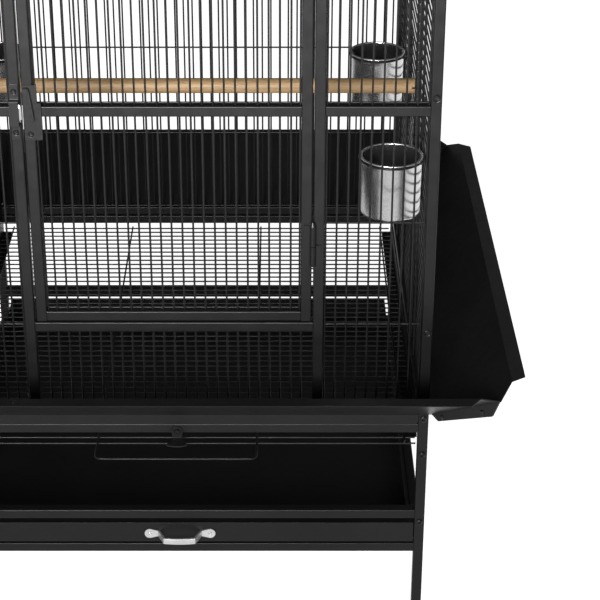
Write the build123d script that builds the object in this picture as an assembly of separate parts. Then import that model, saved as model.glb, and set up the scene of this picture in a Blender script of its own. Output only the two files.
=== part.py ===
"""Bird cage on a wheeled stand: panels of square tube and round bars, a main door, seed guards,
four swing-out feeders, a pull-out grate and a pull-out tray.

Millimetres, +Z up. The origin is on the floor under the middle of the cage, and the front faces -Y.
Each sub-part is written to parts/NODE.step.
"""
from build123d import *
import os

# ---- driving dimensions ------------------------------------------------------------------
tube = 16.0  # square tube, outside
tube_wall = 1.2
tube_corner = 2.0
half_width = 388.0  # outside of the corner posts, across the front
half_depth = 393.0  # outside of the corner posts, front to back
bar_pitch = 15.875  # five eighths of an inch
bar_radius = 1.5
rod_radius = 2.0  # heavier wire of the side panels' uprights and the feeder doors' frames
clearance = 0.3  # between pieces that move past each other

cage_bottom = 702.0  # underside of the panels' bottom rails
cage_top = 1727.0
mid_height = 1214.5  # centre of the mid rail, half way up the panels
joint_height = 719.0  # the stand's posts end and the cage's posts begin
wire_heights = (869.0, 1036.5, 1392.5, 1560.0)  # level wires in the front bays

door_post_x = 216.0
door_half = 205.5
door_bottom = 879.5
door_top = 2 * mid_height - door_bottom
door_gap = 2.5

stand_top = 700.0
grate_height = 669.0
grate_wire = 1.4
tray_rim = 522.0
tray_floor = 481.5
rail_levels = {"upper": 692.0, "middle": 533.5, "lower": 470.5}  # centres of the stand's rails
post_bottom = 78.0

guard_out = 118.0  # level reach of the front and back guards' slopes
side_guard_out = 114.0
guard_low = 717.0
guard_high = 813.0
guard_lip = 21.0
guard_sheet = 1.2

cup_radius = 47.2
cup_height = 97.0
cup_rim_height = 1103.0
cup_x = 326.0
feeder_y = (-282.0, 178.0)
feeder_half = 72.0
feeder_gap = 4.6  # from the feeder door's outer rods to the uprights beside its opening
perch_height = 1106.0
perch_radius = 12.3

# ---- derived -----------------------------------------------------------------------------
half_tube = tube / 2
post_x = half_width - half_tube  # plane of the side panels
post_y = half_depth - half_tube  # plane of the front and back panels
inner_x = half_width - tube
inner_y = half_depth - tube
side_stile_y = post_y - tube  # the side panels' own uprights, behind the front posts
side_inner_y = side_stile_y - half_tube
rim_tube = 1.8
wire_behind = 2 * bar_radius + 0.01  # level wires lie against the inside of the upright bars


# ---- basic shapes ------------------------------------------------------------------------
def rod(start, end, radius):
    """A round wire from start to end."""
    line = Vector(*end) - Vector(*start)
    return Solid.make_cylinder(radius, line.length, Plane(origin=Vector(*start), z_dir=line))


def block(low, high):
    """A rectangular block between two corners."""
    size = [h - l for l, h in zip(low, high)]
    return Solid.make_box(*size, Plane(origin=Vector(*low)))


def square_tube(start, end):
    """A hollow square tube with rounded edges along one of the frame's axes."""
    line = Vector(*end) - Vector(*start)
    across = Vector(0, 0, 1) if abs(line.Z) < 1 else Vector(1, 0, 0)
    plane = Plane(origin=Vector(*start), x_dir=across, z_dir=line)
    hollow = tube - 2 * tube_wall
    section = RectangleRounded(tube, tube, tube_corner)
    section -= RectangleRounded(hollow, hollow, tube_corner - tube_wall)
    return extrude(plane * section, line.length).solid()


def fused(solids):
    """Joins overlapping solids into one."""
    first, *rest = solids
    return first.fuse(*rest) if rest else first


def turned(profile_points):
    """Revolves a closed (radius, height) outline about Z."""
    outline = make_face(Polyline(*profile_points, close=True))
    return revolve(Plane.XZ * outline, Axis.Z, 360)


def every_solid(shapes):
    """The plain solids in a list of shapes."""
    return [solid for shape in shapes for solid in shape.solids()]


def write(name, *shapes):
    """Writes one node's solids as parts/NAME.step."""
    solids = every_solid(shapes)
    target = solids[0] if len(solids) == 1 else Compound(children=solids)
    export_step(target, f"parts/{name}.step")


def mirror_x(shape):
    return shape.mirror(Plane.YZ)


# ---- grilles -----------------------------------------------------------------------------
def grille(place, positions, low, high, levels):
    """Upright bars with level wires resting against them, each a solid of its own.

    place(along, height, inward) gives the point in the frame. The wires run from the first bar
    to the last, at the given levels and just inside both ends of the bars."""
    bars = [rod(place(u, low, 0), place(u, high, 0), bar_radius) for u in positions]
    edge = bar_radius + 0.4
    first = min(positions) - bar_radius
    last = max(positions) + bar_radius
    wires = [
        rod(place(first, z, wire_behind), place(last, z, wire_behind), bar_radius)
        for z in (low + edge, *levels, high - edge)
    ]
    return bars + wires


def front_place(along, height, inward):
    return (along, -post_y + inward, height)


def back_place(along, height, inward):
    return (along, post_y - inward, height)


def even(first, last):
    """Bar positions at the usual pitch that fill a span evenly, ends included."""
    gaps = max(1, round((last - first) / bar_pitch))
    return [first + (last - first) * i / gaps for i in range(gaps + 1)]


# ---- cage panels -------------------------------------------------------------------------
panel_low = cage_bottom + tube
panel_high = cage_top - tube
mid_low = mid_height - half_tube
mid_high = mid_height + half_tube
door_rail_low = door_bottom - door_gap - half_tube
door_rail_high = door_top + door_gap + half_tube
bar_edge = bar_radius + 0.2
bay_first = door_post_x + half_tube + bar_edge
bay_last = inner_x - bar_edge


def panel_tubes(y, mid_rail_spans):
    """Corner posts, bottom rail and top rail of the front or back panel, and its level mid rails."""
    posts = [square_tube((s * post_x, y, joint_height + 0.5), (s * post_x, y, cage_top)) for s in (-1, 1)]
    heights = (cage_bottom + half_tube, cage_top - half_tube)
    rails = [square_tube((-inner_x, y, z), (inner_x, y, z)) for z in heights]
    spans = [square_tube((a, y, z), (b, y, z)) for a, b, z in mid_rail_spans]
    return posts + rails + spans


def front_frame():
    """The front panel's tubes, with an opening for the main door."""
    bay = door_post_x + half_tube
    door_side = door_post_x - half_tube
    spans = [
        (-inner_x, -bay, mid_height),
        (bay, inner_x, mid_height),
        (-door_side, door_side, door_rail_low),
        (-door_side, door_side, door_rail_high),
    ]
    door_posts = [
        square_tube((s * door_post_x, -post_y, panel_low), (s * door_post_x, -post_y, panel_high))
        for s in (-1, 1)
    ]
    return panel_tubes(-post_y, spans) + door_posts


def front_bars():
    """Bars of the two side bays and of the strips under and over the door."""
    bay = even(bay_first, bay_last)
    lower = [z for z in wire_heights if z < mid_height]
    upper = [z for z in wire_heights if z > mid_height]
    right = grille(front_place, bay, panel_low, mid_low, lower)
    right += grille(front_place, bay, mid_high, panel_high, upper)
    strip = [k * bar_pitch for k in range(-12, 13)]
    strips = grille(front_place, strip, panel_low, door_rail_low - half_tube, [])
    strips += grille(front_place, strip, door_rail_high + half_tube, panel_high, [])
    return right + [mirror_x(piece) for piece in right] + strips


def back_bars():
    """Bars of the back panel, above and below its mid rail."""
    row = [k * bar_pitch for k in range(-23, 24)]
    lower = grille(back_place, row, panel_low, mid_low, wire_heights[:2])
    return lower + grille(back_place, row, mid_high, panel_high, wire_heights[2:])


def right_frame():
    """The right panel's own tubes: two uprights, top rail and bottom rail."""
    uprights = [
        square_tube((post_x, s * side_stile_y, cage_bottom), (post_x, s * side_stile_y, cage_top))
        for s in (-1, 1)
    ]
    heights = (cage_bottom + half_tube, cage_top - half_tube)
    rails = [square_tube((post_x, -side_inner_y, z), (post_x, side_inner_y, z)) for z in heights]
    return uprights + rails


feeder_edge = feeder_half + feeder_gap
side_rows = [perch_height + k * bar_pitch for k in range(-24, 38)]  # heights of the side bars
opening_low = perch_height - 7 * bar_pitch
opening_high = perch_height + 4 * bar_pitch
frame_gap = 5.1  # from the opening's edge bars to the feeder door's own rods
feeder_low = opening_low + frame_gap
feeder_high = opening_high - frame_gap
hinge_eye_heights = (perch_height - 5.5 * bar_pitch, perch_height + 2.5 * bar_pitch)
upright_x = post_x - rod_radius - bar_radius - 0.01  # uprights stand against the inside of the bars


def side_upright(y):
    return rod((upright_x, y, panel_low), (upright_x, y, panel_high), rod_radius)


def hinge_eyes(y_centre):
    """Two welded loops round the feeder door's edge rod, on the upright that carries them."""
    y = y_centre - feeder_half
    upright = side_upright(y_centre - feeder_edge)
    for z in hinge_eye_heights:
        upright = upright.fuse(rod((post_x, y, z - 4), (post_x, y, z + 4), rod_radius + clearance + 1.6))
        upright -= rod((post_x, y, z - 5), (post_x, y, z + 5), rod_radius + clearance)
    return [upright.solid()]


def right_bars():
    """Level bars of the right panel, cut short at the two feeder openings, on their uprights."""
    front_y, rear_y = feeder_y
    end = side_inner_y - 0.2
    made = []
    for z in side_rows:
        if feeder_low < z < feeder_high:
            spans = [(front_y + feeder_edge, rear_y - feeder_edge), (rear_y + feeder_edge, end)]
        else:
            spans = [(-end, end)]
        made += [rod((post_x, low, z), (post_x, high, z), bar_radius) for low, high in spans]
    made += [side_upright(y) for y in (front_y + feeder_edge, -141.0, -58.0, rear_y + feeder_edge)]
    return made + hinge_eyes(front_y) + hinge_eyes(rear_y)


def top_frame():
    """Tubes of the flat top panel, which drops in between the four wall panels."""
    z = cage_top - half_tube
    x = inner_x - half_tube - 0.5
    y = inner_y - half_tube - 0.5
    sides = [square_tube((s * x, -y - half_tube, z), (s * x, y + half_tube, z)) for s in (-1, 1)]
    ends = [square_tube((-x + half_tube, s * y, z), (x - half_tube, s * y, z)) for s in (-1, 1)]
    middle = square_tube((-x + half_tube, 0, z), (x - half_tube, 0, z))
    return sides + ends + [middle]


def top_bars():
    """Bars of the top panel, running front to back either side of its middle tube."""
    reach = inner_x - tube - 0.5
    row = [k * bar_pitch for k in range(-22, 23)]
    z = cage_top - half_tube
    end = inner_y - tube - 0.5
    made = []
    for s in (-1, 1):
        made += [rod((x, s * half_tube, z), (x, s * end, z), bar_radius) for x in row]
        made += [
            rod((-reach, s * y, z - wire_behind), (reach, s * y, z - wire_behind), bar_radius)
            for y in (half_tube + 1.9, (half_tube + end) / 2, end - 1.9)
        ]
    return made


# ---- main door ---------------------------------------------------------------------------
door_stile = door_half - half_tube
hinge_axis_x = (door_half + door_post_x - half_tube) / 2
hinge_axis_y = -half_depth - 5.2
hinge_heights = (1006.0, 2 * mid_height - 1006.0)
hinge_radius = 4.5
hinge_half_length = 32.0
pin_radius = 2.2


def door_frame():
    """The door's two stiles and its bottom, middle and top rails."""
    stiles = [
        square_tube((s * door_stile, -post_y, door_bottom), (s * door_stile, -post_y, door_top))
        for s in (-1, 1)
    ]
    inner = door_stile - half_tube
    heights = (door_bottom + half_tube, mid_height, door_top - half_tube)
    rails = [square_tube((-inner, -post_y, z), (inner, -post_y, z)) for z in heights]
    return stiles + rails


def door_bars():
    """The door's bars, above and below its mid rail."""
    inner = door_stile - half_tube
    row = [-inner + bar_edge] + [k * bar_pitch for k in range(-11, 12)] + [inner - bar_edge]
    lower = grille(front_place, row, door_bottom + tube, mid_low, [])
    return lower + grille(front_place, row, mid_high, door_top - tube, [])


def hinge_half(z, low, high, leaf_low_x, leaf_high_x):
    """One knuckle of a door hinge with the leaf that is welded to its tube."""
    x, y = hinge_axis_x, hinge_axis_y
    barrel = rod((x, y, z + low), (x, y, z + high), hinge_radius)
    leaf = block((leaf_low_x, -half_depth - 2.2, z + low), (leaf_high_x, -half_depth, z + high))
    bored = barrel.fuse(leaf) - rod((x, y, z + low - 1), (x, y, z + high + 1), pin_radius + 0.05)
    return bored.solid()


def door_knuckles():
    """The upper knuckles, welded to the door's right stile."""
    x = hinge_axis_x
    return [hinge_half(z, 0.4, hinge_half_length, x - 12, x) for z in hinge_heights]


def post_knuckles():
    """The lower knuckles, welded to the door post."""
    x = hinge_axis_x
    return [hinge_half(z, -hinge_half_length, -0.4, x, x + 12) for z in hinge_heights]


def hinge_pins():
    """Hinge pins with a domed head resting on the upper knuckle."""
    x, y = hinge_axis_x, hinge_axis_y
    pins = []
    for z in hinge_heights:
        top = z + hinge_half_length
        pin = rod((x, y, z - hinge_half_length + 0.5), (x, y, top + 1), pin_radius)
        head = Solid.make_cone(hinge_radius, 2.0, 6.5, Plane(origin=(x, y, top + 0.3)))
        pins.append(pin.fuse(head).solid())
    return pins


lock_x = -199.0
lock_pivot_height = mid_height + 33.0
lock_front = -half_depth - 3.0


def lock_plate():
    """The stepped lock plate on the door's left stile, with a boss that the lever turns on."""
    low = mid_height - 42
    z = lock_pivot_height
    lower = block((-204.0, lock_front, low), (-179.0, -half_depth, mid_height + 14))
    upper = block((-204.0, lock_front, mid_height + 14), (-184.0, -half_depth, mid_height + 41))
    boss_y = lock_front - 1.2
    boss = rod((lock_x, lock_front, z), (lock_x, boss_y, z), 4.2)
    spindle = rod((lock_x, boss_y, z), (lock_x, boss_y - 4.6, z), 2.0)
    head = rod((lock_x, boss_y - 4.6, z), (lock_x, boss_y - 6.0, z), 3.6)
    return fused([lower, upper, boss, spindle, head])


def lock_lever():
    """A narrow lever that hangs from its spindle and turns in front of the plate."""
    back = lock_front - 1.2 - clearance
    plane = Plane(origin=(lock_x, back, 0), x_dir=(1, 0, 0), z_dir=(0, -1, 0))
    top = Pos(0, lock_pivot_height) * Circle(4.8)
    bulb = Pos(4.5, mid_height - 9) * Circle(5.6)
    outline = make_hull([*top.edges(), *bulb.edges()])
    outline -= Pos(0, lock_pivot_height) * Circle(2.0 + 0.05)
    return [extrude(plane * outline, 3.8).solid()]


def button_head(x, y, z, radius, height, out_y=-1):
    """A domed screw head seated on a face that looks along -Y, or +Y if out_y is 1."""
    plane = Plane(origin=(x, y, z), z_dir=(0, out_y, 0))
    head = Solid.make_cone(radius, radius * 0.62, height, plane)
    socket_plane = Plane(origin=(x, y + out_y * height * 0.45, z), z_dir=(0, out_y, 0))
    socket = extrude(socket_plane * RegularPolygon(radius * 0.38, 6), height).solid()
    return (head - socket).solid()


def lock_screws():
    """The screw in the lock plate."""
    return [button_head(-195.5, lock_front, mid_height - 33, 4.6, 2.4)]


def strike_bracket():
    """A strap on the door post, bent forward in the middle round the catch roller."""
    x_low, x_high = -223.0, -210.0
    foot = 2.0
    rise = 11.5
    low, high = mid_height - 42, mid_height + 42
    bend = 17.0
    face = -half_depth
    outline = [
        (face, low), (face, mid_height - bend), (face - rise + foot, mid_height - bend),
        (face - rise + foot, mid_height + bend), (face, mid_height + bend), (face, high),
        (face - foot, high), (face - foot, mid_height + bend + foot),
        (face - rise, mid_height + bend + foot), (face - rise, mid_height - bend - foot),
        (face - foot, mid_height - bend - foot), (face - foot, low),
    ]
    plane = Plane(origin=(x_low, 0, 0), x_dir=(0, 1, 0), z_dir=(1, 0, 0))
    strap = extrude(plane * make_face(Polyline(*outline, close=True)), x_high - x_low)
    return [strap.solid()]


def strike_screws():
    """The two screws that hold the strike."""
    return [button_head(-216.5, -half_depth - 2.0, mid_height + s * 31, 4.6, 2.4) for s in (-1, 1)]


def catch_roller():
    """The bright roller beside the door's edge, which the lock closes on."""
    profile = [(0, -13), (2.6, -13), (4.2, -9), (4.2, 9), (2.6, 13), (0, 13)]
    return [Pos(-209.4, -half_depth - 4.6, mid_height) * turned(profile)]


# ---- perch -------------------------------------------------------------------------------
def perch():
    """A wooden dowel across the cage, slotted at each end over a level bar of the side panel."""
    length = post_x + 5.0
    dowel = rod((-length, 0, perch_height), (length, 0, perch_height), perch_radius)
    slot = bar_radius + clearance
    for s in (-1, 1):
        near, far = sorted((s * (post_x - 6.5), s * (length + 1)))
        dowel -= block((near, -20, perch_height - slot), (far, 20, perch_height + slot))
    return [dowel.solid()]


# ---- feeders -----------------------------------------------------------------------------
ring_radius = 48.0
ring_wire = 1.6
arm_wire = 1.4
ring_drop = 2.64  # from the centre of the cup's rolled rim down to the ring's
ring_height = cup_rim_height - rim_tube - ring_drop


def feeder_door():
    """A swing-out door of wire in the right panel, with the ring that holds a cup, about Y = 0."""
    upright_ends = (feeder_low - rod_radius, feeder_high + rod_radius)
    ends = (-feeder_half, feeder_half)
    frame = [rod((post_x, y, upright_ends[0]), (post_x, y, upright_ends[1]), rod_radius) for y in ends]
    rows = [(z, rod_radius - 0.1) for z in (feeder_low, feeder_high)]
    rows += [(z, bar_radius) for z in side_rows if feeder_low < z < feeder_high]
    bars = [rod((post_x, ends[0], z), (post_x, ends[1], z), radius) for z, radius in rows]
    cross_x = post_x - rod_radius - 0.8
    cross = rod((cross_x, ends[0] + 1, ring_height), (cross_x, ends[1] - 1, ring_height), ring_wire)
    ring = Solid.make_torus(ring_radius, ring_wire, Plane(origin=(cup_x, 0, ring_height)))
    arm_y = 26.0
    arm_start = cup_x + (ring_radius**2 - arm_y**2) ** 0.5 - 0.9
    arms = [rod((arm_start, y, ring_height), (cross_x, y, ring_height), arm_wire) for y in (-arm_y, arm_y)]
    return fused(frame + bars + [cross] + arms + [ring])


def cup():
    """A stainless cup with a rolled rim, a rounded foot and slightly tapered walls, about Y = 0."""
    wall = 1.0
    top = cup_rim_height
    base = top - cup_height
    body_top = cup_radius - 1.4
    body_low = body_top - 1.2
    foot = 9.0
    rim_centre = (cup_radius - rim_tube, top - rim_tube)
    with BuildPart() as made:
        with BuildSketch(Plane.XZ):
            with BuildLine():
                Polyline((0, base), (body_low - foot, base))
                RadiusArc((body_low - foot, base), (body_low, base + foot), -foot)
                Line((body_low, base + foot), (body_top, top - rim_tube))
                Line((body_top, top - rim_tube), (body_top - wall, top - rim_tube))
                Line((body_top - wall, top - rim_tube), (body_low - wall, base + foot))
                RadiusArc((body_low - wall, base + foot), (body_low - foot, base + wall), foot - wall)
                Polyline((body_low - foot, base + wall), (0, base + wall), (0, base))
            make_face()
        revolve(axis=Axis.Z)
        with BuildSketch(Plane.XZ):
            with Locations(rim_centre):
                Circle(rim_tube)
        revolve(axis=Axis.Z)
    return Pos(cup_x, 0, 0) * made.part.solid()


# ---- seed guards -------------------------------------------------------------------------
guard_rise = guard_high - guard_low
hip_point_rise = 80.0  # height of the cut corner above the guard's low edge
cut_back = 51.0  # how far the lip stops short of the corner
mitre_gap = 0.4  # from each mitred end to the plane that it shares with the next guard


def guard(half_length, face, out, next_out):
    """One seed guard, its low edge on the panel at Y = -face and its slope reaching out from it.

    The sheet has a strip fixed to the panel, a slope that rises outward, a level lip, and a
    flange turned down along each mitred end where two bolts join it to the next guard."""
    slope = out / guard_rise
    side_slope = next_out / guard_rise
    strip_face = face + guard_sheet
    edge_x = half_length + 1.0 - mitre_gap
    hip_x = edge_x + side_slope * hip_point_rise
    lip_x = edge_x + next_out - cut_back
    slant = (out**2 + guard_rise**2) ** 0.5
    top = guard_rise + guard_sheet
    along = (top - guard_sheet * out / slant) / guard_rise
    fold = out * along - guard_sheet * guard_rise / slant
    section = make_face(
        Polyline(
            (0, 0), (out, guard_rise), (out + guard_lip, guard_rise), (out + guard_lip, top),
            (fold, top), (-guard_sheet * guard_rise / slant, guard_sheet * out / slant), close=True,
        )
    )
    profile = Plane(origin=(lip_x + 60, -strip_face, guard_low), x_dir=(0, -1, 0), z_dir=(-1, 0, 0))
    trough = extrude(profile * section, 2 * lip_x + 120).solid()
    half_plan = [
        (edge_x - side_slope * 3, -slope * 3), (hip_x, slope * hip_point_rise), (lip_x, out),
        (lip_x - 15.0, out + guard_lip + 1),
    ]
    plan = half_plan + [(-x, reach) for x, reach in reversed(half_plan)]
    plan_face = make_face(Polyline(*[(x, -strip_face - reach) for x, reach in plan], close=True))
    sheet = trough & extrude(Plane(origin=(0, 0, guard_low - 20)) * plan_face, guard_rise + 60).solid()
    strip_x = half_length - tube - 1.0
    strip = extrude(
        Plane(origin=(0, -face, stand_top + 8.5), x_dir=(1, 0, 0), z_dir=(0, -1, 0))
        * RectangleRounded(2 * strip_x, 17.0, 5.0),
        guard_sheet,
    ).solid()
    top_fill = block((-strip_x, -strip_face, guard_low - 6), (strip_x, -face, guard_low + 0.8))
    end = end_flange(edge_x, strip_face, slope, side_slope)
    return fused([sheet.solid(), strip, top_fill, end, mirror_x(end)])


def end_flange(edge_x, strip_face, slope, side_slope):
    """The flange turned down along a guard's mitred end, standing under the hip line."""
    weld = 0.8  # the flange reaches this far up into the sheet

    def at(rise, drop):
        return Vector(edge_x + side_slope * rise, -(strip_face + slope * rise), guard_low + rise - drop)

    outline = make_face(
        Polyline(at(3, -weld), at(11, 14.0), at(72, 22.0), at(hip_point_rise - 1, -weld), close=True)
    )
    across = Vector(slope, side_slope, 0).normalized()
    return extrude(outline, guard_sheet, dir=across * -1).solid()


def guard_bolts():
    """Two small bolts and nuts through the flanges at each mitred corner."""
    bolts = []
    for along, drop in ((18.0, 8.2), (72.0, 11.5)):
        rise = along * guard_rise / side_guard_out
        x = half_width + 1.0 + along
        y = half_depth + guard_sheet + rise * guard_out / guard_rise
        out = Vector(-guard_out, side_guard_out * -1, 0).normalized()
        point = Vector(x, -y, guard_low + rise - drop)
        sheets = guard_sheet + mitre_gap
        head_plane = Plane(origin=point + out * sheets, z_dir=out)
        nut_plane = Plane(origin=point - out * (sheets + mitre_gap), z_dir=out * -1)
        bolts.append(Solid.make_cone(4.2, 2.8, 2.4, head_plane))
        bolts.append(extrude(nut_plane * RegularPolygon(4.4, 6), 3.0).solid())
    right = bolts + [bolt.mirror(Plane.XZ) for bolt in bolts]
    return right + [mirror_x(bolt) for bolt in right]


# ---- grate -------------------------------------------------------------------------------
grate_front = -half_depth - 6.0
grate_back = grate_front + 785.0
grate_count = 46
grate_half = inner_x - 3.5
pull_x = 123.0
pull_reach = 50.0


def grate():
    """The wire floor: close wires across, four carriers front to back, and a bow that joins the
    inner two in front as a pull."""
    step = (grate_back - grate_front) / (grate_count - 1)
    rows = [grate_front + i * step for i in range(grate_count)]
    across = [rod((-grate_half, y, grate_height), (grate_half, y, grate_height), grate_wire) for y in rows]
    carrier_radius = grate_wire + 0.1
    carrier_z = grate_height + grate_wire + carrier_radius + 0.01
    reach = grate_front - pull_reach
    bend = 10.0
    bow_back = reach + bend + 2.0
    starts = {-351.0: grate_front - 1, -pull_x: bow_back, pull_x: bow_back, 351.0: grate_front - 1}
    carriers = [
        rod((x, front, carrier_z), (x, grate_back + 1, carrier_z), carrier_radius)
        for x, front in starts.items()
    ]
    route = FilletPolyline(
        (-pull_x, bow_back, carrier_z), (-pull_x, reach, carrier_z),
        (pull_x, reach, carrier_z), (pull_x, bow_back, carrier_z), radius=bend,
    )
    start = Plane(origin=route @ 0, z_dir=route % 0)
    bow = sweep(start * Circle(carrier_radius), path=route).solid()
    return across + carriers + [bow]


def keeper():
    """The fan-footed keeper that hangs on the stand's front rail over the grate's front wire.

    Its foot flares mostly in front of the wire, so that it clears the wire as it swings aside."""
    pivot_z = rail_levels["upper"] - 4.5
    back = -half_depth - clearance
    thick = 2.0
    neck = 7.5
    foot_z = grate_height + grate_wire + 4.0
    foot_half = 16.5
    foot_side = 22.0
    foot_tip = 27.0
    disc = rod((0, back, pivot_z), (0, back - thick, pivot_z), 9.0)
    outline = make_face(
        Polyline((-8.5, pivot_z), (8.5, pivot_z), (neck, foot_z), (-neck, foot_z), close=True)
    )
    upright = Plane(origin=(0, back, 0), x_dir=(1, 0, 0), z_dir=(0, -1, 0))
    body = extrude(upright * outline, thick).solid()
    sides = Polyline((foot_half, foot_side), (neck, 0), (-neck, 0), (-foot_half, foot_side))
    front = ThreePointArc((-foot_half, foot_side), (0, foot_tip), (foot_half, foot_side))
    level = Plane(origin=(0, back, foot_z + thick), x_dir=(1, 0, 0), z_dir=(0, 0, -1))
    foot = extrude(level * make_face([*sides.edges(), *front.edges()]), thick).solid()
    hole = rod((0, back + 1, pivot_z), (0, back - thick - 1, pivot_z), 3.05)
    return [(fused([disc, body, foot]) - hole).solid()]


def keeper_bolt():
    """The shouldered bolt that the keeper turns on."""
    z = rail_levels["upper"] - 4.5
    shank = rod((0, -half_depth, z), (0, -half_depth - 2.8, z), 3.0)
    head = button_head(0, -half_depth - 2.7, z, 5.5, 3.0)
    return [fused([shank, head])]


# ---- tray --------------------------------------------------------------------------------
pan_half = 362.0
pan_back = 378.0
pan_wall = 1.2
tray_front_face = -half_depth + 0.5


def tray_pan():
    """The sheet-metal pan with an outward rolled edge at the back and sides."""
    front = -half_depth + tube - 2.0
    outer = block((-pan_half, front, tray_floor), (pan_half, pan_back, tray_rim))
    inside = block(
        (-pan_half + pan_wall, front + pan_wall, tray_floor + pan_wall),
        (pan_half - pan_wall, pan_back - pan_wall, tray_rim + 1),
    )
    pan = outer - inside
    hem = 4.0
    hems = [
        block((-pan_half, pan_back - pan_wall, tray_rim - hem), (pan_half, pan_back + 1.2, tray_rim)),
        block((pan_half - pan_wall, front, tray_rim - hem), (pan_half + 1.6, pan_back + 1.2, tray_rim)),
        block((-pan_half - 1.6, front, tray_rim - hem), (-pan_half + pan_wall, pan_back + 1.2, tray_rim)),
    ]
    return [fused([pan.solid()] + hems)]


tray_panel_low = 481.5
tray_panel_high = 517.5


def tray_front():
    """The tray's front panel, a shallow folded channel that fills the gap between the rails."""
    x = inner_x - 1.2
    back = -half_depth + tube - 2.0
    sheet = 1.5
    face = block((-x, tray_front_face, tray_panel_low), (x, tray_front_face + sheet, tray_panel_high))
    top = block((-x, tray_front_face, tray_panel_high - sheet), (x, back, tray_panel_high))
    bottom = block((-x, tray_front_face, tray_panel_low), (x, back, tray_panel_low + sheet))
    return [fused([face, top, bottom])]


handle_height = 498.0
handle_screw_x = 48.0
grip_height = 10.0


def tray_handle():
    """A bridge-shaped pull of bent strip with two leaf-shaped feet."""
    face = tray_front_face
    foot_plane = Plane(origin=(0, face, 0), x_dir=(1, 0, 0), z_dir=(0, -1, 0))
    feet = []
    for s in (-1, 1):
        pad = Pos(s * handle_screw_x, handle_height) * Circle(8.2)
        neck = Pos(s * 34.5, handle_height) * Circle(4.6)
        feet.append(extrude(foot_plane * make_hull([*pad.edges(), *neck.edges()]), 2.0).solid())
    front = face - 23.5
    middle = front - 2.0
    strip = 2.6
    with BuildPart() as grip:
        with BuildSketch(Plane(origin=(0, 0, handle_height - grip_height / 2))):
            with BuildLine():
                Polyline((-25.0, front), (-35.5, face - 1.0), (-32.0, face - 1.0), (-23.0, front + strip))
                ThreePointArc((-23.0, front + strip), (0, middle + strip), (23.0, front + strip))
                Polyline((23.0, front + strip), (32.0, face - 1.0), (35.5, face - 1.0), (25.0, front))
                ThreePointArc((25.0, front), (0, middle), (-25.0, front))
            make_face()
        extrude(amount=grip_height)
    return [fused(feet + [grip.part.solid()])]


def handle_screws():
    return [button_head(s * handle_screw_x, tray_front_face - 2.0, handle_height, 3.4, 1.8) for s in (-1, 1)]


# ---- stand -------------------------------------------------------------------------------
def stand_posts():
    return [
        square_tube((sx * post_x, sy * post_y, post_bottom), (sx * post_x, sy * post_y, joint_height))
        for sx in (-1, 1)
        for sy in (-1, 1)
    ]


def stand_rails():
    """Rails between the posts: all round at the top and bottom levels, front and back between."""
    rails = []
    for level, z in rail_levels.items():
        for s in (-1, 1):
            rails.append(square_tube((-inner_x, s * post_y, z), (inner_x, s * post_y, z)))
            if level != "middle":
                rails.append(square_tube((s * post_x, -inner_y, z), (s * post_x, inner_y, z)))
    return rails


def angle(y_half, wall_low, wall_high, shelf_z, shelf_x):
    """A right-hand runner: a wall on the side rail's inner face and a shelf towards the middle."""
    sheet = 1.5
    wall = block((inner_x - sheet, -y_half, wall_low), (inner_x, y_half, wall_high))
    shelf = block((shelf_x, -y_half, shelf_z - sheet), (inner_x, y_half, shelf_z))
    return fused([wall, shelf])


def grate_runners():
    shelf_z = grate_height - grate_wire - 0.1
    right = angle(inner_y - 1, shelf_z - 1.5, stand_top, shelf_z, 354.0)
    return [right, mirror_x(right)]


def tray_runners():
    shelf_z = tray_floor - 0.2
    right = angle(inner_y - 1, rail_levels["lower"] - half_tube, shelf_z, shelf_z, 348.0)
    return [right, mirror_x(right)]


def post_plugs():
    """Plastic plugs in the foot of each post, bored for the caster's stem."""
    plugs = []
    half = half_tube - tube_wall - 0.05
    for sx in (-1, 1):
        for sy in (-1, 1):
            x, y = sx * post_x, sy * post_y
            foot = Plane(origin=(x, y, post_bottom))
            plug = extrude(foot * RectangleRounded(2 * half, 2 * half, 1.2), 34).solid()
            flange = extrude(foot * Rectangle(tube, tube), -2).solid()
            bore = rod((x, y, post_bottom - 3), (x, y, post_bottom + 35), stem_radius + 0.05)
            plugs.append((plug.fuse(flange) - bore).solid())
    return plugs


def post_caps():
    """Flat plastic caps on the cage posts' open tops."""
    return [
        block((sx * post_x - half_tube, sy * post_y - half_tube, cage_top),
              (sx * post_x + half_tube, sy * post_y + half_tube, cage_top + 2.5))
        for sx in (-1, 1)
        for sy in (-1, 1)
    ]


def frame_bolts():
    """Button-head bolts on the front and back faces of the posts."""
    heads = []
    heights = (joint_height - 10, 644.0, 519.0, mid_height + 20, cage_top - 80, 800.0 + 60)
    for sx in (-1, 1):
        for sy in (-1, 1):
            for z in heights:
                heads.append(button_head(sx * post_x, sy * half_depth, z, 6.0, 3.4, sy))
    return heads


# ---- casters -----------------------------------------------------------------------------
wheel_radius = 25.0
wheel_width = 18.0
stem_radius = 5.0
trail = 18.0
axle_radius = 3.0


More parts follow.
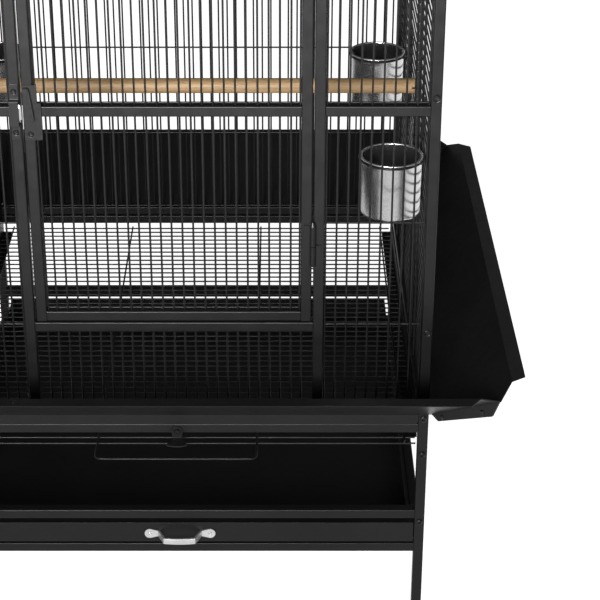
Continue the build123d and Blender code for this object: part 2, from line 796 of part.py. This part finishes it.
def caster_fork(x, y):
    """A swivel fork with its stem and a riveted axle, trailing towards the back."""
    crown = post_bottom - 2.0 - clearance
    stem = rod((x, y, crown - 4), (x, y, post_bottom + 30), stem_radius)
    disc = rod((x, y, crown - 5), (x, y, crown), 13.0)
    top = block((x - 14.0, y - 13.0, crown - 8), (x + 14.0, y + trail + 10, crown - 4))
    parts = [stem, disc, top]
    for s in (-1, 1):
        cheek_outline = make_face(
            Polyline(
                (y - 12.0, crown - 5), (y + trail + 9, crown - 5),
                (y + trail + 7, wheel_radius - 6), (y + trail - 7, wheel_radius - 6), close=True,
            )
        )
        cheek_plane = Plane(origin=(x + s * 12.75 - 1.25, 0, 0), x_dir=(0, 1, 0), z_dir=(1, 0, 0))
        parts.append(extrude(cheek_plane * cheek_outline, 2.5).solid())
    axle_y = y + trail
    parts.append(rod((x - 16, axle_y, wheel_radius), (x + 16, axle_y, wheel_radius), axle_radius))
    return fused(parts)


def caster_wheel(x, y):
    """A wheel with a rounded tread, a recessed web and a bored hub."""
    half = wheel_width / 2
    hub = half + 1.5
    bore = axle_radius + 0.05
    profile = [
        (bore, -hub), (9.0, -hub), (10.0, -half + 3), (17.0, -half + 3), (18.5, -half),
        (wheel_radius - 2.5, -half), (wheel_radius, -half + 3), (wheel_radius, half - 3),
        (wheel_radius - 2.5, half), (18.5, half), (17.0, half - 3), (10.0, half - 3),
        (9.0, hub), (bore, hub),
    ]
    wheel = turned(profile)
    return Pos(x, y + trail, wheel_radius) * (Rot(0, 90, 0) * wheel)


corner_names = {"front_left": (-1, -1), "front_right": (1, -1), "back_left": (-1, 1), "back_right": (1, 1)}


# ---- writing -----------------------------------------------------------------------------
def write_cage():
    write("front_frame", *front_frame())
    write("front_bars", *front_bars())
    mid_rail = [(-inner_x, inner_x, mid_height)]
    write("back_frame", *panel_tubes(post_y, mid_rail))
    write("back_bars", *back_bars())
    side_tubes = right_frame()
    side_bars = right_bars()
    write("right_frame", *side_tubes)
    write("right_bars", *side_bars)
    write("left_frame", *[mirror_x(piece) for piece in side_tubes])
    write("left_bars", *[mirror_x(piece) for piece in side_bars])
    write("top_frame", *top_frame())
    write("top_bars", *top_bars())
    write("post_caps", *post_caps())
    write("perch", *perch())


def write_guards():
    front = guard(half_width, half_depth, guard_out, side_guard_out)
    right = Rot(0, 0, 90) * guard(half_depth, half_width, side_guard_out, guard_out)
    write("front_guard", front)
    write("back_guard", front.mirror(Plane.XZ))
    write("right_guard", right)
    write("left_guard", mirror_x(right))
    write("guard_bolts", *guard_bolts())


def write_door():
    write("door_frame", *door_frame())
    write("door_bars", *door_bars())
    write("door_knuckles", *door_knuckles())
    write("post_knuckles", *post_knuckles())
    write("hinge_pins", *hinge_pins())
    write("lock_plate", lock_plate())
    write("lock_lever", *lock_lever())
    write("lock_screws", *lock_screws())
    write("strike_bracket", *strike_bracket())
    write("strike_screws", *strike_screws())
    write("catch_roller", *catch_roller())


def write_feeders():
    for place, y in zip(("front", "back"), feeder_y):
        right_door = Pos(0, y, 0) * feeder_door()
        right_cup = Pos(0, y, 0) * cup()
        write(f"feeder_door_{place}_right", right_door)
        write(f"feeder_door_{place}_left", mirror_x(right_door))
        write(f"cup_{place}_right", right_cup)
        write(f"cup_{place}_left", mirror_x(right_cup))


def write_stand():
    write("stand_posts", *stand_posts())
    write("stand_rails", *stand_rails())
    write("grate_runners", *grate_runners())
    write("tray_runners", *tray_runners())
    write("frame_bolts", *frame_bolts())
    write("post_plugs", *post_plugs())
    write("grate", *grate())
    write("keeper", *keeper())
    write("keeper_bolt", *keeper_bolt())
    write("tray_pan", *tray_pan())
    write("tray_front", *tray_front())
    write("tray_handle", *tray_handle())
    write("handle_screws", *handle_screws())
    for name, (sx, sy) in corner_names.items():
        x, y = sx * post_x, sy * post_y
        write(f"caster_fork_{name}", caster_fork(x, y))
        write(f"caster_wheel_{name}", caster_wheel(x, y))


os.makedirs("parts", exist_ok=True)
write_cage()
write_guards()
write_door()
write_feeders()
write_stand()
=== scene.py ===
"""The looks of a bird cage on a wheeled stand: materials for its metal work and wood, softened edges,
and detailed meshes for the cups, wheels and screws. Metres, +Z up, the front faces -Y."""

import math

import bmesh
import bpy
from mathutils import Matrix, Vector


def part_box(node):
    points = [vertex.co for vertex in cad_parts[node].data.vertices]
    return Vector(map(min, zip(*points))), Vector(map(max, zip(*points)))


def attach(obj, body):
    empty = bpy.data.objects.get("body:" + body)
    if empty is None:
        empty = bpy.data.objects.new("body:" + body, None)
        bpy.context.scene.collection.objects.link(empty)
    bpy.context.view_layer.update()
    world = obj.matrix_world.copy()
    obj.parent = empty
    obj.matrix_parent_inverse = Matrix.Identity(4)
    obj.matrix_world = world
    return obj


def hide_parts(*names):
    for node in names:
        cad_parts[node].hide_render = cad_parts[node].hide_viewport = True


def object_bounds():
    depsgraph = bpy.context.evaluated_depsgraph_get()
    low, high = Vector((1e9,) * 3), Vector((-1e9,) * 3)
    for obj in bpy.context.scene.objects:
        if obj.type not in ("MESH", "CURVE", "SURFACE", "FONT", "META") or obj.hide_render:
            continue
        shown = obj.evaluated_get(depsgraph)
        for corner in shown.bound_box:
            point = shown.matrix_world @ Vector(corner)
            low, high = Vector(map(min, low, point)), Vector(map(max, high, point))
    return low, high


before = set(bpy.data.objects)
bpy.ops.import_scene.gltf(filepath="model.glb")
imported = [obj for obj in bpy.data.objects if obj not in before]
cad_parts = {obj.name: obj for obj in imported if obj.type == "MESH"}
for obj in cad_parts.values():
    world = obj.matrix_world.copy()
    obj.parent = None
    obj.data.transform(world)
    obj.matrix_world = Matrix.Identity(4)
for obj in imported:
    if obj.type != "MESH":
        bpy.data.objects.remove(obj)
cad_low, cad_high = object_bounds()
mm = 0.001


# ---- node helpers ------------------------------------------------------------------------
def new_material(name):
    """A material with its node tree and its Principled shader."""
    material = bpy.data.materials.new(name)
    material.use_nodes = True
    tree = material.node_tree
    return material, tree, tree.nodes["Principled BSDF"]


def object_vector(tree, stretch=(1, 1, 1)):
    """Object coordinates, scaled along each axis."""
    coordinate = tree.nodes.new("ShaderNodeTexCoord")
    mapping = tree.nodes.new("ShaderNodeMapping")
    mapping.inputs["Scale"].default_value = stretch
    tree.links.new(coordinate.outputs["Object"], mapping.inputs["Vector"])
    return mapping.outputs["Vector"]


def noise(tree, vector, scale, detail=3.0, roughness=0.5):
    """Noise between 0 and 1, with features about 1 / scale metres wide."""
    texture = tree.nodes.new("ShaderNodeTexNoise")
    texture.inputs["Scale"].default_value = scale
    texture.inputs["Detail"].default_value = detail
    texture.inputs["Roughness"].default_value = roughness
    tree.links.new(vector, texture.inputs["Vector"])
    return texture.outputs["Fac"]


def ramp(tree, factor, stops):
    """A colour ramp through (position, colour) stops."""
    node = tree.nodes.new("ShaderNodeValToRGB")
    elements = node.color_ramp.elements
    elements[0].position, elements[0].color = stops[0][0], (*stops[0][1], 1)
    elements[1].position, elements[1].color = stops[-1][0], (*stops[-1][1], 1)
    for position, colour in stops[1:-1]:
        elements.new(position).color = (*colour, 1)
    tree.links.new(factor, node.inputs["Fac"])
    return node.outputs["Color"]


def spread(tree, factor, low, high):
    """Maps a noise's middle range onto low to high."""
    node = tree.nodes.new("ShaderNodeMapRange")
    node.inputs["From Min"].default_value = 0.3
    node.inputs["From Max"].default_value = 0.7
    node.inputs["To Min"].default_value = low
    node.inputs["To Max"].default_value = high
    tree.links.new(factor, node.inputs["Value"])
    return node.outputs["Result"]


def multiplied(tree, first, second):
    """One colour times another."""
    mix = tree.nodes.new("ShaderNodeMix")
    mix.data_type = "RGBA"
    mix.blend_type = "MULTIPLY"
    mix.inputs["Factor"].default_value = 1.0
    sockets = {socket.name: socket for socket in mix.inputs if socket.type == "RGBA"}
    tree.links.new(first, sockets["A"])
    tree.links.new(second, sockets["B"])
    return next(socket for socket in mix.outputs if socket.type == "RGBA")


def bump(tree, shader, height, distance, strength=1.0):
    """Feeds a height into the shader's normal, after any bump already there."""
    node = tree.nodes.new("ShaderNodeBump")
    node.inputs["Distance"].default_value = distance
    node.inputs["Strength"].default_value = strength
    tree.links.new(height, node.inputs["Height"])
    if shader.inputs["Normal"].is_linked:
        tree.links.new(shader.inputs["Normal"].links[0].from_socket, node.inputs["Normal"])
    tree.links.new(node.outputs["Normal"], shader.inputs["Normal"])


# ---- materials ---------------------------------------------------------------------------
def powder_coat():
    """Satin black powder coat: a fine orange peel with slightly uneven gloss."""
    material, tree, shader = new_material("powder_coat")
    vector = object_vector(tree)
    patches = noise(tree, vector, 9, 4)
    tree.links.new(
        ramp(tree, patches, [(0.3, (0.0030, 0.0030, 0.0031)), (0.7, (0.0046, 0.0046, 0.0047))]),
        shader.inputs["Base Color"],
    )
    peel = noise(tree, vector, 900, 2)
    tree.links.new(spread(tree, noise(tree, vector, 60, 5), 0.34, 0.44), shader.inputs["Roughness"])
    shader.inputs["Specular IOR Level"].default_value = 0.2
    bump(tree, shader, peel, 0.03 * mm, 0.5)
    bump(tree, shader, noise(tree, vector, 3200, 2), 0.008 * mm, 0.5)
    return material


def black_hardware():
    """Blackened steel screws and brackets, smoother than the coat, with rubbed spots."""
    material, tree, shader = new_material("black_hardware")
    vector = object_vector(tree)
    rubbed = noise(tree, vector, 240, 5)
    colour = ramp(
        tree, rubbed,
        [(0.35, (0.0030, 0.0030, 0.0032)), (0.62, (0.0052, 0.0052, 0.0054)), (0.78, (0.010, 0.010, 0.010))],
    )
    tree.links.new(colour, shader.inputs["Base Color"])
    shader.inputs["Specular IOR Level"].default_value = 0.26
    tree.links.new(spread(tree, noise(tree, vector, 420, 3), 0.30, 0.44), shader.inputs["Roughness"])
    bump(tree, shader, noise(tree, vector, 1500, 2), 0.012 * mm)
    return material


def stainless():
    """Spun stainless steel: fine rings round the piece's own axis and a few soft smears."""
    material, tree, shader = new_material("stainless")
    rings = noise(tree, object_vector(tree, (3, 3, 2600)), 1, 2, 0.5)
    smear = noise(tree, object_vector(tree), 14, 2)
    shader.inputs["Metallic"].default_value = 1.0
    shader.inputs["Anisotropic"].default_value = 0.8
    tree.links.new(
        ramp(tree, smear, [(0.3, (0.60, 0.60, 0.60)), (0.7, (0.66, 0.66, 0.66))]), shader.inputs["Base Color"]
    )
    tree.links.new(spread(tree, rings, 0.22, 0.27), shader.inputs["Roughness"])
    bump(tree, shader, rings, 0.002 * mm, 0.4)
    return material


def satin_handle():
    """Pale satin-nickel plating on the tray's pull."""
    material, tree, shader = new_material("satin_handle")
    grain = noise(tree, object_vector(tree, (60, 1400, 1400)), 1, 3)
    cloud = noise(tree, object_vector(tree), 55, 3)
    shader.inputs["Metallic"].default_value = 0.85
    tree.links.new(
        ramp(tree, cloud, [(0.3, (0.47, 0.47, 0.47)), (0.7, (0.54, 0.54, 0.54))]), shader.inputs["Base Color"]
    )
    tree.links.new(spread(tree, grain, 0.3, 0.42), shader.inputs["Roughness"])
    bump(tree, shader, grain, 0.006 * mm, 0.6)
    return material


def dowel_wood():
    """Pale hardwood with its grain along X, short pores and a lightly sanded surface."""
    material, tree, shader = new_material("dowel_wood")
    grain = noise(tree, object_vector(tree, (5, 210, 210)), 1, 5, 0.6)
    pores = noise(tree, object_vector(tree, (55, 1500, 1500)), 1, 2)
    colour = ramp(
        tree, grain,
        [(0.25, (0.155, 0.092, 0.040)), (0.5, (0.235, 0.149, 0.069)), (0.75, (0.30, 0.200, 0.100))],
    )
    shade = ramp(tree, pores, [(0.27, (0.62, 0.55, 0.47)), (0.40, (1, 1, 1))])
    tree.links.new(multiplied(tree, colour, shade), shader.inputs["Base Color"])
    tree.links.new(spread(tree, grain, 0.48, 0.62), shader.inputs["Roughness"])
    bump(tree, shader, pores, 0.05 * mm, 0.6)
    bump(tree, shader, grain, 0.12 * mm, 0.5)
    return material


def black_plastic():
    """Moulded plastic of the plugs and caps, with a fine spark-eroded grain."""
    material, tree, shader = new_material("black_plastic")
    vector = object_vector(tree)
    tree.links.new(
        ramp(tree, noise(tree, vector, 30, 3), [(0.3, (0.010, 0.010, 0.011)), (0.7, (0.016, 0.016, 0.017))]),
        shader.inputs["Base Color"],
    )
    tree.links.new(spread(tree, noise(tree, vector, 300, 3), 0.45, 0.6), shader.inputs["Roughness"])
    bump(tree, shader, noise(tree, vector, 2400, 2), 0.02 * mm)
    return material


def wheel_rubber():
    """Dark grey tread rubber, dull and a little dusty."""
    material, tree, shader = new_material("wheel_rubber")
    vector = object_vector(tree)
    tree.links.new(
        ramp(tree, noise(tree, vector, 90, 5), [(0.3, (0.022, 0.022, 0.023)), (0.75, (0.050, 0.049, 0.047))]),
        shader.inputs["Base Color"],
    )
    tree.links.new(spread(tree, noise(tree, vector, 260, 3), 0.6, 0.8), shader.inputs["Roughness"])
    bump(tree, shader, noise(tree, vector, 1800, 2), 0.03 * mm)
    return material


def wheel_hub():
    """Grey moulded hub of a caster wheel."""
    material, tree, shader = new_material("wheel_hub")
    vector = object_vector(tree)
    tree.links.new(
        ramp(tree, noise(tree, vector, 70, 3), [(0.3, (0.20, 0.20, 0.205)), (0.7, (0.27, 0.27, 0.27))]),
        shader.inputs["Base Color"],
    )
    tree.links.new(spread(tree, noise(tree, vector, 500, 2), 0.42, 0.55), shader.inputs["Roughness"])
    bump(tree, shader, noise(tree, vector, 2200, 2), 0.015 * mm)
    return material


def caster_steel():
    """Zinc-plated pressed steel with a faint crystalline cloudiness."""
    material, tree, shader = new_material("caster_steel")
    vector = object_vector(tree)
    crystals = noise(tree, vector, 190, 6, 0.7)
    shader.inputs["Metallic"].default_value = 1.0
    tree.links.new(
        ramp(tree, crystals, [(0.3, (0.48, 0.49, 0.51)), (0.7, (0.62, 0.63, 0.64))]),
        shader.inputs["Base Color"],
    )
    tree.links.new(spread(tree, crystals, 0.28, 0.42), shader.inputs["Roughness"])
    bump(tree, shader, noise(tree, vector, 1300, 2), 0.012 * mm)
    return material


coat = powder_coat()
hardware = black_hardware()
steel = stainless()
nickel = satin_handle()
wood = dowel_wood()
plastic = black_plastic()
rubber = wheel_rubber()
hub_grey = wheel_hub()
zinc = caster_steel()

places = ("front_left", "front_right", "back_left", "back_right")
finishes = {
    hardware: (
        "frame_bolts", "guard_bolts", "hinge_pins", "lock_lever", "lock_plate", "lock_screws",
        "strike_bracket", "strike_screws", "keeper_bolt",
    ),
    steel: ("catch_roller",) + tuple(f"cup_{place}" for place in places),
    nickel: ("tray_handle", "handle_screws"),
    wood: ("perch",),
    plastic: ("post_caps", "post_plugs"),
    rubber: tuple(f"caster_wheel_{place}" for place in places),
    zinc: tuple(f"caster_fork_{place}" for place in places),
}
node_finish = {node: material for material, nodes in finishes.items() for node in nodes}
for node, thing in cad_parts.items():
    thing.data.materials.clear()
    thing.data.materials.append(node_finish.get(node, coat))


# ---- edges of the metal work -------------------------------------------------------------
def soften(node, width, segments=2):
    """Rounds a CAD node's sharp edges with modifiers."""
    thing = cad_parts[node]
    weld = thing.modifiers.new("weld", "WELD")
    weld.merge_threshold = 0.002 * mm
    rounding = thing.modifiers.new("rounding", "BEVEL")
    rounding.width = width
    rounding.segments = segments
    rounding.limit_method = "ANGLE"
    rounding.angle_limit = math.radians(35)
    rounding.harden_normals = True


for node, width in {
    "keeper": 0.5 * mm,
    "lock_plate": 0.6 * mm,
    "lock_lever": 0.7 * mm,
    "strike_bracket": 0.6 * mm,
    "post_caps": 0.8 * mm,
    "tray_front": 0.4 * mm,
    "tray_handle": 0.6 * mm,
    "guard_bolts": 0.5 * mm,
    "perch": 0.8 * mm,
}.items():
    soften(node, width)


# ---- mesh helpers ------------------------------------------------------------------------
def mesh_object(name, build, material, smooth=True):
    """A new object whose mesh build(bm) makes."""
    bm = bmesh.new()
    build(bm)
    bmesh.ops.recalc_face_normals(bm, faces=bm.faces)
    mesh = bpy.data.meshes.new(name)
    bm.to_mesh(mesh)
    bm.free()
    if smooth:
        mesh.shade_smooth()
    mesh.materials.append(material)
    thing = bpy.data.objects.new(name, mesh)
    bpy.context.scene.collection.objects.link(thing)
    return thing


def lathe(bm, profile, steps, transform=Matrix.Identity(4), slot=0):
    """Revolves (radius, height) points about Z. Points on the axis close the surface."""
    loops = []
    for radius, height in profile:
        if radius < 1e-7:
            loops.append([bm.verts.new(transform @ Vector((0, 0, height)))])
            continue
        turns = [2 * math.pi * i / steps for i in range(steps)]
        points = [Vector((radius * math.cos(a), radius * math.sin(a), height)) for a in turns]
        loops.append([bm.verts.new(transform @ point) for point in points])
    for first, second in zip(loops, loops[1:]):
        for i in range(steps):
            corners = [
                first[i % len(first)], first[(i + 1) % len(first)],
                second[(i + 1) % len(second)], second[i % len(second)],
            ]
            face = bm.faces.new(list(dict.fromkeys(corners)))
            face.material_index = slot


def arc(centre, radius, start, end, steps):
    """Points on an arc, angles in degrees."""
    angles = [math.radians(start + (end - start) * i / steps) for i in range(steps + 1)]
    return [(centre[0] + radius * math.cos(a), centre[1] + radius * math.sin(a)) for a in angles]


def sharpen(thing):
    """Keeps a smooth mesh crisp along its sharp edges."""
    split = thing.modifiers.new("edges", "EDGE_SPLIT")
    split.split_angle = math.radians(40)


def finish_piece(thing, body, slot, *nodes):
    """Puts a piece on its body and hides the CAD nodes that it stands for."""
    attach(thing, body)
    if nodes:
        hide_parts(*nodes)


def islands(node):
    """The boxes (low corner, high corner) of the separate solids of a CAD node."""
    bm = bmesh.new()
    bm.from_mesh(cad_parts[node].data)
    bmesh.ops.remove_doubles(bm, verts=bm.verts, dist=0.002 * mm)
    seen = set()
    found = []
    for start in bm.verts:
        if start in seen:
            continue
        group = [start]
        seen.add(start)
        for vert in group:
            for edge in vert.link_edges:
                other = edge.other_vert(vert)
                if other not in seen:
                    seen.add(other)
                    group.append(other)
        low = Vector([min(v.co[i] for v in group) for i in range(3)])
        high = Vector([max(v.co[i] for v in group) for i in range(3)])
        found.append((low, high))
    bm.free()
    return found


# ---- cups --------------------------------------------------------------------------------
def cup(place):
    """A spun steel cup: rolled rim, slightly tapered walls, rounded foot and raised base."""
    low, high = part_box(f"cup_{place}")
    centre = (low + high) / 2
    outer = (high.x - low.x) / 2
    height = high.z - low.z
    roll = 1.8 * mm
    wall = 1.0 * mm
    body_top = outer - 1.4 * mm
    body_low = body_top - 1.2 * mm
    foot = 9.0 * mm
    rim = (outer - roll, height - roll)
    profile = [(0, 0.8 * mm), (body_low - foot - 5 * mm, 0.8 * mm), (body_low - foot, 0)]
    profile += arc((body_low - foot, foot), foot, -80, 0, 10)
    profile += [(body_top - 0.3 * mm, height - 14 * mm), (body_top - 0.1 * mm, height - 4.6 * mm)]
    profile += arc(rim, roll, -75, 180, 18)
    profile += [
        (rim[0] - roll, height - 3.2 * mm),
        (body_top - wall - 0.3 * mm, height - 5 * mm),
        (body_top - wall - 0.4 * mm, height - 14 * mm),
        (body_low - wall, foot),
    ]
    profile += arc((body_low - foot, foot), foot - wall, -10, -90, 8)
    profile += [(body_low - foot - 5 * mm, 1.8 * mm), (0, 1.8 * mm)]
    thing = mesh_object(f"spun_cup_{place}", lambda bm: lathe(bm, profile, 96), steel)
    thing.location = (centre.x, centre.y, low.z)
    finish_piece(thing, f"cup_{place}", "stainless", f"cup_{place}")


# ---- screws ------------------------------------------------------------------------------
def button_head(bm, point, out, radius, height):
    """A domed head on a face at point, looking along out, with a hexagonal socket."""
    rotation = Vector(out).to_track_quat("Z", "Y").to_matrix().to_4x4()
    transform = Matrix.Translation(point) @ rotation
    socket = radius * 0.46
    depth = height * 0.7
    dome = (radius * radius + height * height) / (2 * height)
    edge = math.degrees(math.asin(min(1, radius / dome)))
    profile = [(radius, 0), (radius, 0.18 * height)]
    steps = 6
    for i in range(steps + 1):
        angle = math.radians(edge * (1 - i / steps)) * 0.92
        r = dome * math.sin(angle)
        if r <= socket * 1.1:
            break
        profile.append((r * 0.985, height - dome * (1 - math.cos(angle))))
    top = profile[-1][1]
    profile += [(socket, top - 0.02 * height), (socket, top - depth), (0, top - depth * 1.15)]
    lathe(bm, profile, 24, transform)


def screw_set(name, node, material, body, slot):
    """Domed heads in place of each small conical head of a node on the -Y or +Y faces."""
    heads = islands(node)

    def build(bm):
        for low, high in heads:
            centre = (low + high) / 2
            out = 1 if centre.y > 0 else -1
            base = low.y if out > 0 else high.y
            radius = (high.x - low.x) / 2
            button_head(bm, Vector((centre.x, base, centre.z)), (0, out, 0), radius, high.y - low.y)

    thing = mesh_object(name, build, material)
    sharpen(thing)
    finish_piece(thing, body, slot, node)


# ---- caster wheels -----------------------------------------------------------------------
def caster_wheel(place):
    """A wheel with a crowned tread and two grooves on a moulded hub with five ribs a side."""
    low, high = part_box(f"caster_wheel_{place}")
    centre = (low + high) / 2
    radius = (high.z - low.z) / 2
    hub_half = (high.x - low.x) / 2
    half = hub_half - 1.5 * mm
    web = half - 3.2 * mm
    bore = 3.2 * mm
    ribs = 5

    tread_side = [(18.5 * mm, half - 1.2 * mm), (19.5 * mm, half), (radius - 3.6 * mm, half)]
    shoulder = arc((radius - 3.4 * mm, half - 3.0 * mm), 3.0 * mm, 80, 15, 4)
    groove = radius - 0.7 * mm
    crown = [(radius, half - 4.8 * mm), (radius, 2.4 * mm), (groove, 1.9 * mm), (groove, 1.1 * mm)]
    quarter = tread_side + shoulder + crown + [(radius, 0.7 * mm)]
    tyre = quarter + [(r, -h) for r, h in reversed(quarter)]

    hub_side = [
        (bore, hub_half), (8.6 * mm, hub_half), (9.4 * mm, hub_half - 0.8 * mm), (10.0 * mm, web),
        (16.6 * mm, web), (17.4 * mm, half - 0.9 * mm), (18.5 * mm, half - 0.9 * mm),
        (18.5 * mm, half - 1.2 * mm),
    ]
    turn = Matrix.Rotation(math.radians(90), 4, "Y")

    def build(bm):
        lathe(bm, tyre, 64, turn, 0)
        for side in (1, -1):
            lathe(bm, [(r, side * h) for r, h in hub_side], 64, turn, 1)
        for side in (1, -1):
            for k in range(ribs):
                spin = Matrix.Rotation(2 * math.pi * k / ribs, 4, "X")
                rib(bm, spin, side, web)

    def rib(bm, spin, side, web):
        inner, outer = 9.6 * mm, 17.0 * mm
        foot, top = 1.3 * mm, 0.8 * mm
        root, crest = web - 0.1 * mm, half - 1.4 * mm
        corners = []
        for z in (inner, outer):
            for y, x in ((-foot, root), (foot, root), (top, crest), (-top, crest)):
                corners.append(bm.verts.new(spin @ Vector((side * x, y, z))))
        for i in range(4):
            j = (i + 1) % 4
            face = bm.faces.new((corners[i], corners[j], corners[4 + j], corners[4 + i]))
            face.material_index = 1

    thing = mesh_object(f"wheel_{place}", build, rubber)
    thing.data.materials.append(hub_grey)
    thing.location = centre
    sharpen(thing)
    finish_piece(thing, f"wheel_{place}", "wheel_rubber", f"caster_wheel_{place}")


# ---- camera, floor and light -------------------------------------------------------------
def make_camera():
    """A long lens in front of the cage and above it, looking down on the lower right part."""
    data = bpy.data.cameras.new("camera")
    data.sensor_width = 36.0
    data.lens = 111.54
    data.shift_x = 0.036
    data.clip_start = 0.05
    data.clip_end = 100.0
    camera = bpy.data.objects.new("camera", data)
    camera.location = (0.1565, -2.8547, 2.181)
    camera.rotation_euler = (math.radians(90 - 27.215), 0, 0)
    bpy.context.scene.collection.objects.link(camera)
    bpy.context.scene.camera = camera


floor_glow = 0.86


def make_floor():
    """A wide plain pale floor, lit from within like a light table so that it stays white."""
    def build(bm):
        half = 30.0
        corners = [(-half, -half), (half, -half), (half, half), (-half, half)]
        bm.faces.new([bm.verts.new((x, y, cad_low.z)) for x, y in corners])

    material, tree, shader = new_material("studio_floor")
    cloud = noise(tree, object_vector(tree), 3, 2)
    tree.links.new(
        ramp(tree, cloud, [(0.3, (0.90, 0.90, 0.90)), (0.7, (0.93, 0.93, 0.93))]),
        shader.inputs["Base Color"],
    )
    shader.inputs["Roughness"].default_value = 0.9
    shader.inputs["Specular IOR Level"].default_value = 0.1
    shader.inputs["Emission Color"].default_value = (1, 1, 1, 1)
    shader.inputs["Emission Strength"].default_value = floor_glow
    mesh_object("studio_floor", build, material, smooth=False)


def make_world():
    """A dim studio, brighter in front and white where the camera looks past the floor."""
    world = bpy.data.worlds.new("studio")
    bpy.context.scene.world = world
    world.use_nodes = True
    tree = world.node_tree
    coordinate = tree.nodes.new("ShaderNodeTexCoord")
    split = tree.nodes.new("ShaderNodeSeparateXYZ")
    tree.links.new(coordinate.outputs["Generated"], split.inputs["Vector"])
    side = tree.nodes.new("ShaderNodeMapRange")
    side.inputs["From Min"].default_value = -1.0
    side.inputs["From Max"].default_value = 1.0
    tree.links.new(split.outputs["Y"], side.inputs["Value"])
    studio = tree.nodes["Background"]
    front_to_back = ramp(
        tree, side.outputs["Result"],
        [(0.0, (0.50, 0.50, 0.50)), (0.35, (0.16, 0.16, 0.16)), (1.0, (0.06, 0.06, 0.06))],
    )
    tree.links.new(front_to_back, studio.inputs["Color"])
    backdrop = tree.nodes.new("ShaderNodeBackground")
    path = tree.nodes.new("ShaderNodeLightPath")
    seen = tree.nodes.new("ShaderNodeMixShader")
    tree.links.new(path.outputs["Is Camera Ray"], seen.inputs["Fac"])
    tree.links.new(studio.outputs["Background"], seen.inputs[1])
    tree.links.new(backdrop.outputs["Background"], seen.inputs[2])
    tree.links.new(seen.outputs["Shader"], tree.nodes["World Output"].inputs["Surface"])
    backdrop.inputs["Color"].default_value = (1, 1, 1, 1)


def soft_light(name, place, aim, size, power, spread_angle=180):
    """A square soft box, with a grid on it where its spread is narrower than 180 degrees."""
    data = bpy.data.lights.new(name, "AREA")
    data.shape = "SQUARE"
    data.size = size
    data.energy = power
    data.spread = math.radians(spread_angle)
    light = bpy.data.objects.new(name, data)
    light.location = place
    light.rotation_euler = (Vector(aim) - Vector(place)).to_track_quat("-Z", "Y").to_euler()
    bpy.context.scene.collection.objects.link(light)


make_camera()
make_floor()
make_world()
soft_light("key", (-0.5, -3.4, 2.0), (0, -0.4, 1.6), 1.2, 38, 50)
soft_light("back_fill", (1.8, 3.6, 1.6), (0, 0, 1.0), 1.6, 5)
scene = bpy.context.scene
scene.view_settings.view_transform = "Standard"
scene.view_settings.look = "None"

for place in places:
    cup(place)
    caster_wheel(place)
screw_set("frame_bolt_heads", "frame_bolts", hardware, "cage", "black_hardware")
screw_set("lock_screw_heads", "lock_screws", hardware, "door", "black_hardware")
screw_set("strike_screw_heads", "strike_screws", hardware, "cage", "black_hardware")
screw_set("handle_screw_heads", "handle_screws", nickel, "tray", "satin_handle")
